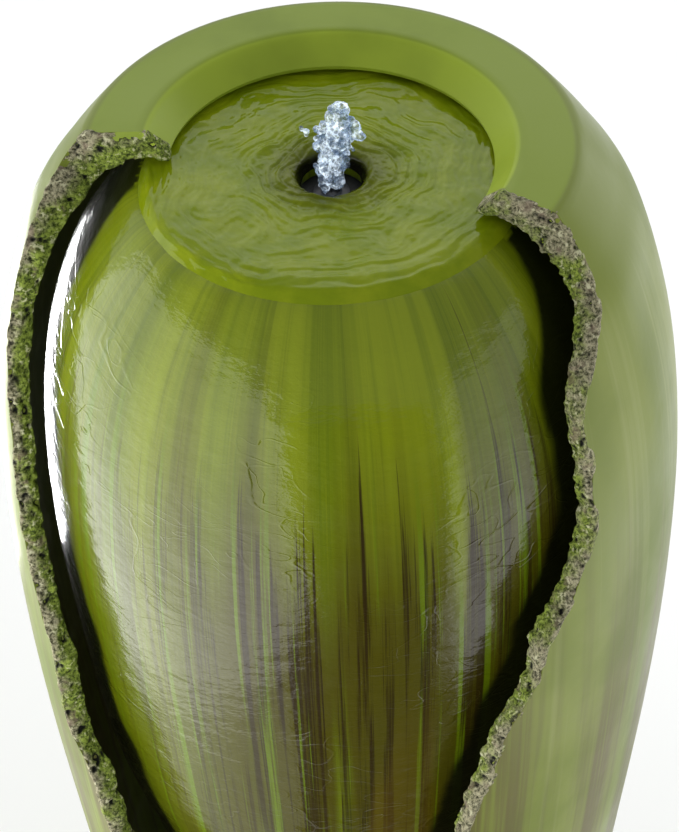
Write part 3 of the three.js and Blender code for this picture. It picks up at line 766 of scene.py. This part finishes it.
def dark_card():
    """A black card in front, seen only in reflections: the dark band down the wet vase."""
    near = [(-0.12, -0.30, 0.002), (0.28, -0.30, 0.002)]
    far = [(-0.85, -2.3, 0.002), (1.70, -2.3, 0.002)]
    top = [(-0.85, -2.5, 1.5), (1.70, -2.5, 1.5)]
    card = build("dark_card", [(np.array([near, far, top]) / MM, 0)])
    black = Paint("dark_card", Base_Color=(0.004, 0.004, 0.004, 1), Roughness=0.9)
    black.roughness(black.remap(black.noise(4), 0.3, 0.7, 0.85, 0.95))
    card.data.materials.append(black.material)
    card.visible_camera = card.visible_shadow = card.visible_diffuse = False


def studio():
    """A pale sweep behind, a panel and a strip on each side and a dark card in front."""
    world = bpy.data.worlds.new("studio")
    world.use_nodes = True
    tree = world.node_tree
    background = tree.nodes["Background"]
    background.inputs[0].default_value = (0.96, 0.98, 1.0, 1)
    along = tree.nodes.new("ShaderNodeSeparateXYZ")
    tree.links.new(tree.nodes.new("ShaderNodeTexCoord").outputs["Generated"], along.inputs[0])
    ramp = tree.nodes.new("ShaderNodeMapRange")
    ramp.interpolation_type = "SMOOTHSTEP"
    for key, value in (("From Min", -0.10), ("From Max", 0.62), ("To Min", 0.40), ("To Max", 0.98)):
        ramp.inputs[key].default_value = value
    tree.links.new(along.outputs[1], ramp.inputs["Value"])
    tree.links.new(ramp.outputs["Result"], background.inputs[1])
    bpy.context.scene.world = world
    ends = (-9000.0, 9000.0)
    floor = build("floor", [(np.array([[(x, y, 0) for x in ends] for y in ends]), 0)])
    floor.data.materials.append(floor_paint())
    left = softbox("left_panel", (-0.62, -0.27, 0.54), (0.02, 0, 0.74), (1.54, 1.36), 13.5)
    right = softbox("right_panel", (0.66, -0.27, 0.50), (0, 0, 0.74), (0.84, 1.24), 3.0)
    strip = softbox("left_strip", (-0.34, 0.36, 0.40), (-0.15, 0, 0.55), (0.11, 0.36), 1.7)
    dark_card()
    for light in (left, right, strip):
        leave_out(light, "receiver", floor)
    softbox("right_strip", (0.95, 0.60, 0.8), (0, 0, 0.62), (0.6, 1.3), 2.4)
    softbox("top_panel", (0.0, 1.7, 2.2), (0, 0, 0.7), (2.4, 1.0), 8)
    sweep = softbox("sweep_light", (0.0, 1.3, 2.2), (0, 1.0, 0), (3.2, 2.4), 34)
    sweep.light_linking.receiver_collection = bpy.data.collections.new("sweep")
    sweep.light_linking.receiver_collection.objects.link(floor)
    view = bpy.context.scene.view_settings
    view.view_transform = "Standard"
    view.look = "None"
    return strip


# ------------------ the torn opening
def smoothed(edge, height):
    """The angle of a torn edge at each height, in degrees, with its corners eased."""
    grid = np.arange(240.0, 866.0, 1.0)
    points = np.array(edge, float)
    raw = np.interp(grid, points[:, 0], points[:, 1])
    reach, spread = 14, 5.0  # millimetres of height on each side of a corner
    kernel = np.exp(-0.5 * (np.arange(-reach, reach + 1) / spread) ** 2)
    padded = np.pad(raw, reach, mode="edge")
    return np.interp(height, grid, np.convolve(padded, kernel / kernel.sum(), mode="valid"))


def torn_angles(height):
    """The right and left edge of the opening at each height, as angles in radians."""
    height = np.asarray(height, float)
    left, right = smoothed(TEAR_LEFT, height), smoothed(TEAR_RIGHT, height)
    zero = np.zeros_like(height)
    left = left + 1.5 * fractal(np.stack([height, zero, zero], -1), 34, 3, 11)
    right = right + 1.5 * fractal(np.stack([height, zero, zero], -1), 34, 3, 12)
    middle = 0.5 * (left + right)
    tip = 22.0  # the opening rounds to its lower end over this height
    rise = np.clip((height - TEAR_BOTTOM) / tip, 0, 1)
    open_by = np.sqrt(1 - (1 - rise) ** 2)
    return [np.radians(middle + (side - middle) * open_by) for side in (right, left)]


def wall_rows(step):
    """Matched outer and inner points of the shell's wall from the foot to the rim."""
    low, high = 26.0, 780.0
    levels = np.linspace(low, high, int((high - low) / step))
    wall_o = np.stack([radius_at(shell_out, levels), levels], -1)
    wall_i = np.stack([radius_at(shell_in, levels), levels], -1)
    foot = np.linspace(0, 1, 8)[:-1]
    lower_o = shell_out[(shell_out[:, 1] > 5) & (shell_out[:, 1] < low)]
    foot_o = resampled(np.vstack([[118, 0], [121.8, 0.8], [124.2, 3], lower_o, wall_o[0]]), foot)
    foot_i = resampled([[104, FLOOR_Z], [110, FLOOR_Z + 1.2], [115, 20], wall_i[0]], foot)
    near_b = fillet(OUTER_LIP, INNER_LIP, (88.6, 826), 4.0)
    near_a = fillet((150, 829), (OUTER_LIP[0] + 0.6, OUTER_LIP[1] + 0.3), INNER_LIP, 6.0)
    near_c = fillet((104, 828.5), (88.6, 826), INNER_LIP, 1.6)
    rim = np.linspace(0, 1, int(120 / step))[1:]
    upper_o = shell_out[(shell_out[:, 1] > high) & (shell_out[:, 0] > near_a[0, 0] + 1)]
    rim_o = resampled(np.vstack([wall_o[-1], upper_o, near_a, near_b]), rim)
    inner_top = shell_in[(shell_in[:, 1] > high) & (shell_in[:, 0] > 96)]
    rim_i = resampled(np.vstack([wall_i[-1], inner_top, near_c]), rim)
    return np.vstack([foot_o, wall_o, rim_o]), np.vstack([foot_i, wall_i, rim_i])


def glazed_shell():
    """The glazed skin of the shell, with its funnel, inner face, floor and rear openings."""
    outer, inner = wall_rows(4.0)
    right, left = torn_angles(outer[:, 1])
    columns = 150
    t = np.linspace(0, 1, columns + 1)
    inset = np.radians(0.35)
    start, end = right + inset, left + 2 * np.pi - inset
    closed = outer[:, 1] < TEAR_BOTTOM + 2
    middle = np.radians(-16.0)
    start = np.where(closed, middle, start)
    end = np.where(closed, middle + 2 * np.pi, end)
    angles = start[:, None] + (end - start)[:, None] * t
    skin, lining = revolve(outer, angles), revolve(inner, angles)
    # The lining is cast against a rough core, so it isn't quite smooth.
    rough = fractal(lining, 16, 4, 31)
    fade = np.clip((inner[:, 1] - 30) / 30, 0, 1) * np.clip((818 - inner[:, 1]) / 20, 0, 1)
    rough = rough - rough[:, :1] * (1 - t) - rough[:, -1:] * t
    lining = lining - unit(lining * FLAT) * (rough * fade[:, None] * 0.8)[..., None]
    funnel = np.linspace(skin[-1], lining[-1], 9)
    first = np.where(~closed)[0][0] - 1
    ends = [(np.linspace(skin[first:, side], lining[first:, side], 9, axis=1), 1) for side in (0, -1)]
    shrink = np.linspace(1, 0, 12)[:, None, None]
    underside = skin[:1] * FLAT * shrink
    floor = lining[:1] * FLAT * shrink + np.array([0, 0, FLOOR_Z])
    patches = [(skin, 0), (lining, 1), (funnel, 0), (underside, 1), (floor, 1), *ends]
    shell = build("glazed_shell", patches)
    rear_openings(shell)
    return place(shell, "fountain", "shell_glaze", "shell_glaze", "bare_body", node="outer_shell")


def disc_outline(radius, height):
    turn = full_circle(40)[:-1]
    return np.stack([radius * np.cos(turn), height + radius * np.sin(turn)], -1)


def rear_openings(shell):
    hatch = rounded_outline(HATCH["half_width"], HATCH["low"], HATCH["high"], HATCH["corner"])
    cut(shell, prism("cut", hatch, 100, 230, 1))
    for port in (GLAND, DRAIN):
        hole, face = (disc_outline(port[size], port["z"]) for size in ("hole", "face"))
        cut(shell, prism("cut", hole, 90, 220, 1))
        cut(shell, prism("cut", face, port["outer"], 220, 1))
        cut(shell, prism("cut", face, port["inner"] - FACE_DEPTH, port["inner"], 1))
    finish_shading(shell)


def torn_edge():
    """The rough broken edge that runs round the opening from one side of the rim to the other."""
    outer, inner = wall_rows(1.2)
    keep = outer[:, 1] >= TEAR_BOTTOM
    outer, inner = outer[keep], inner[keep]
    right, left = torn_angles(outer[:, 1])
    order = slice(None, None, -1)
    angle = np.concatenate([right[order], left])
    o = np.vstack([outer[order], outer])
    i = np.vstack([inner[order], inner])
    around = [revolve(side, angle[:, None])[:, 0] for side in (o, i)]
    both = resampled(np.hstack(around), np.linspace(0, 1, 1300))
    o3, i3 = both[:, :3], both[:, 3:]

    along = unit(np.gradient(0.5 * (o3 + i3), axis=0))
    up = unit(o3 - i3)
    into = unit(np.cross(up, along))
    kernel = np.ones(9) / 9
    for k in range(3):
        into[:, k] = np.convolve(np.pad(into[:, k], 4, mode="edge"), kernel, mode="valid")
    into = unit(into) * np.sign((into @ np.array([-0.25, -0.95, 0.0])).sum())

    # Columns across the edge: over the glaze outside, the broken face, and round onto the lining.
    wrap_out, wrap_in = 5.0, 9.0
    over = [("out", w / wrap_out, o3 - into * w) for w in np.linspace(wrap_out, 0.7, 7)]
    face = [("face", t, o3 + (i3 - o3) * t) for t in np.linspace(0.0, 1.0, 18)]
    under = [("in", w / wrap_in, i3 - into * w) for w in np.linspace(0.9, wrap_in, 9)]
    columns = over + face + under
    grid = np.stack([c[2] for c in columns], 1)

    lump = fractal(grid, 15.0, 3, 41)
    grain = fractal(grid, 4.6, 3, 43)
    crumb = fractal(grid, 1.9, 2, 45)
    hollow = np.clip(1.0 - pits(grid, 7.5, 47) / 0.46, 0, 1)
    small = np.clip(1.0 - pits(grid, 3.1, 53) / 0.42, 0, 1)
    height = 1.5 * lump + 0.95 * grain + 0.40 * crumb - 2.2 * hollow - 1.1 * small
    # relief is low in the hollows and pits; the torn_body material paints shade into these low places.
    relief = 0.56 + 0.10 * lump + 0.22 * grain + 0.14 * crumb - 0.55 * hollow - 0.40 * small
    relief = np.clip(relief, 0, 1)
    moved = np.zeros_like(grid)
    for c, (kind, t, points) in enumerate(columns):
        if kind == "face":
            lean = math.cos(math.pi * t)
            direction = into + 0.75 * lean * abs(lean) * up
            amount = height[:, c] + 0.8 + 1.2 * math.sin(math.pi * t)
        elif kind == "out":
            direction = up + 0.4 * into * (1 - t)
            amount = (1 - t) * (0.7 + 0.6 * height[:, c]) - 1.1 * t ** 2 + 2.4 * lump[:, c] * t * (1 - t)
        else:
            direction = -up + 0.4 * into * (1 - t)
            amount = (1 - t) * (1.0 + 0.7 * height[:, c]) - 1.2 * t ** 3
        moved[:, c] = points + unit(direction) * amount[:, None]
    buried = np.stack([grid[:, 0] - up * 2.5, grid[:, -1] + up * 2.5], 1)
    closing = np.concatenate([moved[:, :1], buried, moved[:, -1:]], 1)
    share = [{"out": 0.0, "face": t, "in": 1.0}[kind] for kind, t, _ in columns]
    across = np.broadcast_to(share, relief.shape)
    caps = []
    for end in (0, -1):
        ring = np.concatenate([moved[end], closing[end, ::-1][1:]])
        caps.append(np.stack([ring, np.broadcast_to(ring.mean(0), ring.shape)]))
    plain = [np.full(grid.shape[:2], 0.5) for grid in (closing, *caps)]
    values = {"relief": [relief, *plain], "across": [across, *plain]}
    edge = build("torn_edge", [(grid, 0) for grid in (moved, closing, *caps)], sharp=75, values=values)
    return place(edge, "fountain", "shell_glaze", "torn_body")


# ------------------ vase and water
def between(path, low, high):
    """The stretch of a rising path between two heights."""
    middle = path[(path[:, 1] > low) & (path[:, 1] < high)]
    return np.vstack([(radius_at(path, low), low), middle, (radius_at(path, high), high)])


def vase_wall(name, low, high, crown, rows):
    """A closed stretch of the vase's wall, rippled outside where the water runs over it."""
    outside = resampled(between(vase_out, low, high), np.linspace(0, 1, rows))
    inside = vase_out - VASE_WALL * outward_normals(vase_out)
    inside = between(inside[inside[:, 1].argsort()], low, min(high, 798.0))[::-1]
    angles = full_circle(400)
    skin = revolve(outside, angles)
    level = outside[:, 1]
    fade = np.clip((level - 60) / 80, 0, 1) * np.clip((808 - level) / 26, 0, 1)
    stretched = skin * np.array([1, 1, 1.6])
    ripple = 0.20 * fractal(stretched, 36, 3, 67) + 0.05 * fractal(stretched, 8, 2, 69)
    skin = skin + unit(skin * FLAT) * (ripple * fade[:, None])[..., None]
    rim = revolve(np.vstack([outside[-1], *crown]), angles) if crown else None
    inner = revolve(inside, angles)
    top = np.stack([rim[-1] if crown else skin[-1], inner[0]])
    foot = np.stack([inner[-1], skin[0]])
    patches = [(skin, 0), (inner, 1), (top, 1), (foot, 1)] + ([(rim, 1)] if crown else [])
    # Behind the shell's torn edges the vase is painted nearly black: painted shade standing in for the
    # shell's shadow in the narrow gap.
    right, left = torn_angles(level)
    turn = (angles + np.pi) % (2 * np.pi) - np.pi
    past = np.maximum(turn - right[:, None], left[:, None] - turn)
    stain = np.clip((np.degrees(past) + 1.5) / 2.0, 0, 1)
    values = {"shell_shadow_paint": [stain] + [np.zeros(grid.shape[:2]) for grid, _ in patches[1:]]}
    return build(name, patches, values=values)


def vase_stand():
    """The lower vase, on its own foot, with slots that let the water through to the pump."""
    stand = vase_wall("cast_vase_stand", FLOOR_Z + GAP, VASE_JOINT_Z - GAP / 2, [], 90)
    outline = [(-13, 0), (13, 0), (13, 33), (9, 42), (0, 46), (-9, 42), (-13, 33)]
    for angle in (45, 135):
        cutter = prism("cut", np.array(outline, float), -120, 120, 1)
        cutter.rotation_euler = (0, 0, math.radians(angle))
        cut(stand, cutter)
    finish_shading(stand)
    return place(stand, "fountain", "vase_glaze", "vase_glaze", "bare_body", node="vase_stand")


def pool_plate():
    """The plate under the pool, with the outlet's eased mouth and the lamp's socket."""
    under = DISC_Z - DISC_THICK
    profile = [(24, under), (24, under - 22), (29, under - 22), (32, under), (DISC_R, under),
               (DISC_R, DISC_Z), (HOLE_R, DISC_Z), (HOLE_R, under)]
    return place(turned("cast_pool_plate", profile, 128, 0.8), "fountain", "vase_glaze", "vase_glaze",
                 node="pool_plate")


def wet_vase():
    """The upper vase: a rippled wet outside, a ledge for the pool plate, and a rear window."""
    ledge = DISC_Z - DISC_THICK - GAP
    crown = [(106.5, 817.4), (DISC_R + GAP, DISC_Z), (DISC_R + GAP, ledge), (96, ledge), (96, ledge - 5)]
    vase = vase_wall("wet_vase", VASE_JOINT_Z + GAP / 2, vase_out[-1, 1], crown, 330)
    cut(vase, prism("cut", rounded_outline(46, 262, 400, 14), 40, 200, 1))
    finish_shading(vase)
    return place(vase, "fountain", "vase_glaze", "vase_glaze", "bare_body", node="inner_vase")


def ring_waves(x, y):
    """Height of the pool's surface, in millimetres: broken rings round the outlet, and chop."""
    r = np.hypot(x, y)
    points = np.stack([x, y, 0 * x], -1)
    wobble = 7.0 * fractal(points, 40, 3, 71)
    rings = np.sin((r + wobble) / 8.2 * 2 * np.pi * (1 + 0.10 * np.sin(r / 19))) * 0.28
    second = np.sin((r + 1.6 * wobble) / 4.4 * 2 * np.pi) * 0.15
    chop = 0.44 * fractal(points, 13, 4, 73, 0.55)
    near = np.exp(-((r - 20) / 26) ** 2)
    return (rings + second) * (0.75 + 1.1 * near) + chop * (1 + 1.4 * near)


def end_rings(surface, lower):
    """Bands that close a sheet of water along its inner and outer edge."""
    return [(np.stack([surface[k], lower[k]]), 0) for k in (0, -1)]


def pool():
    """The pool on the vase's plate, which spills over the shoulder all round."""
    spans = [(HOLE_R - 1.6, HOLE_R + 4, 12), (HOLE_R + 4.7, 103, 118), (103.5, 109.5, 16)]
    radii = np.concatenate([np.linspace(*span) for span in spans])
    shoulder = vase_out[vase_out[:, 1] > 780][::-1]
    ground = np.vstack([(0, DISC_Z), (DISC_R, DISC_Z), shoulder])
    bed = np.interp(radii, ground[:, 0], ground[:, 1])
    depth = np.interp(radii, [17, 20, 24, 94, 102, 105, 107, 109.5],
                      [-2.5, 3.8, 5.8, 5.6, 4.6, 3.2, 1.6, -0.7])
    surface = revolve(np.stack([radii, bed + depth], -1), full_circle(360))
    waves = ring_waves(surface[..., 0], surface[..., 1])
    amount = np.interp(radii, [17, 24, 90, 104, 108, 109.5], [0.5, 1.0, 1.0, 0.9, 0.3, 0.0])
    surface[..., 2] += waves * amount[:, None]
    lower = surface.copy()
    lower[..., 2] = np.minimum((bed + np.minimum(depth, 0.3))[:, None], surface[..., 2] - 0.2)
    lip = np.searchsorted(radii, 107.5)
    sheets = [(surface[:lip + 1], 0), (surface[lip:], 1), (lower, 0), *end_rings(surface, lower)]
    water = build("pool_water", sheets, sharp=80)
    return place(water, "fountain", "water", "pool_water", "vase_glaze")


def blob(body, centre, radius, rng):
    shape = bmesh.ops.create_icosphere(body, subdivisions=2, radius=radius)
    squash = rng.uniform(0.7, 1.35, 3)
    for v in shape["verts"]:
        v.co = Vector((v.co.x * squash[0], v.co.y * squash[1], v.co.z * squash[2])) + Vector(centre)


def splash():
    """The bubbling jet: a ragged clear column that leans, with lobes and loose drops."""
    rng = np.random.default_rng(7)
    body = bmesh.new()
    girth = [(-10, 8), (0, 9.5), (8, 10.5), (16, 12.5), (24, 13.5), (30, 11), (36, 8), (42, 6),
             (46, 1.5)]
    heights, widths = zip(*girth)
    for z in np.linspace(-10, 45, 62):
        lean = 5.6 * np.clip(z / 44, 0, 1) ** 1.3
        reach = np.interp(z, heights, widths)
        for _ in range(6):
            angle, size = rng.uniform(0, 2 * np.pi), rng.uniform(1.0, 2.8)
            away = max(reach - size, 0) * math.sqrt(rng.uniform(0.1, 1.0))
            blob(body, (lean + away * math.cos(angle), away * math.sin(angle), POOL_Z + z), size, rng)
    lobes = [(14.4, 31, 3.8), (16.2, 26, 3.0), (-12.8, 27, 2.2), (-15.5, 29, 1.3),
             (3.2, 42, 3.2), (7.6, 43, 2.7), (11.0, 37, 2.4), (-8.5, 3, 1.8),
             (9.0, 2, 2.0), (-3, 1.5, 2.4), (4.5, 0.5, 2.6)]
    for x, z, size in lobes:
        blob(body, (x, rng.uniform(-3, 3), POOL_Z + z), size, rng)
    jet = emptied(body, "splash_jet")
    jet.data.transform(Matrix.Scale(MM, 4))
    voxel_skin(jet, 0.6)
    push_out(jet, lambda at: 1.3 * (0.55 - pits(at, 4.4, 83)) + 0.35 * fractal(at, 2.2, 2, 85))
    finish_shading(jet, 60)
    return place(jet, "fountain", "water", "splash_water")


def basin():
    """Water that has collected between the vase and the shell."""
    radii = np.linspace(97.2, 144.5, 36)
    surface = revolve(np.stack([radii, np.full(36, BASIN_WATER_Z)], -1), full_circle(240))
    surface[..., 2] += 0.7 * fractal(surface * FLAT, 17, 4, 91)
    lower = surface.copy()
    lower[..., 2] = BASIN_WATER_Z - 3
    water = build("basin_water", [(surface, 0), (lower, 0), *end_rings(surface, lower)], sharp=80)
    return place(water, "fountain", "water", "basin_water")


camera()
edge_light = studio()
shell = glazed_shell()
broken = torn_edge()
leave_out(edge_light, "blocker", shell, broken)
wet_vase()
vase_stand()
pool_plate()
pool()
splash()
basin()

# ------------------ CAD nodes that keep their shape
# Plates whose corners and slots a subdivision would draw out of shape.
KEEP_OUTLINE = ("rear_hatch", "hatch_seal", "intake_cover")


def softened(node):
    """A smooth copy of a CAD piece: its facets rounded, its edges eased."""
    body = bmesh.new()
    body.from_mesh(frame["nodes"][node].data)
    bmesh.ops.remove_doubles(body, verts=body.verts, dist=WELD)
    bmesh.ops.dissolve_limit(body, angle_limit=math.radians(1.5), verts=body.verts, edges=body.edges)
    obj = emptied(body, node + "_fine")
    bevel = obj.modifiers.new("edges", "BEVEL")
    bevel.width = 0.3 * MM
    bevel.segments = 2
    bevel.limit_method = "ANGLE"
    bevel.angle_limit = math.radians(35)
    if node not in KEEP_OUTLINE:
        smooth = obj.modifiers.new("round", "SUBSURF")
        smooth.levels = smooth.render_levels = 2
    return finish_shading(evaluated(obj), 60)


def porous(obj):
    """Open pores all over a foam piece."""
    voxel_skin(obj, 0.6)
    push_out(obj, lambda at: -1.1 * np.clip(1 - pits(at, 2.6, 97) / 0.55, 0, 1) - 0.1)
    finish_shading(obj, 80)


BODY_OF = {node: name for name, body in frame["record"]["behaviour"]["bodies"].items() for node in body}
SLOT_OF = {row["node"]: row["material_slot"] for row in frame["record"]["subparts"]}
CAST_HERE = ("outer_shell", "inner_vase", "vase_stand", "pool_plate")
for node in sorted(set(SLOT_OF) - set(CAST_HERE)):
    slot = SLOT_OF[node]
    piece = softened(node)
    if slot == "filter_foam":
        porous(piece)
    place(piece, BODY_OF[node], slot, slot, node=node)
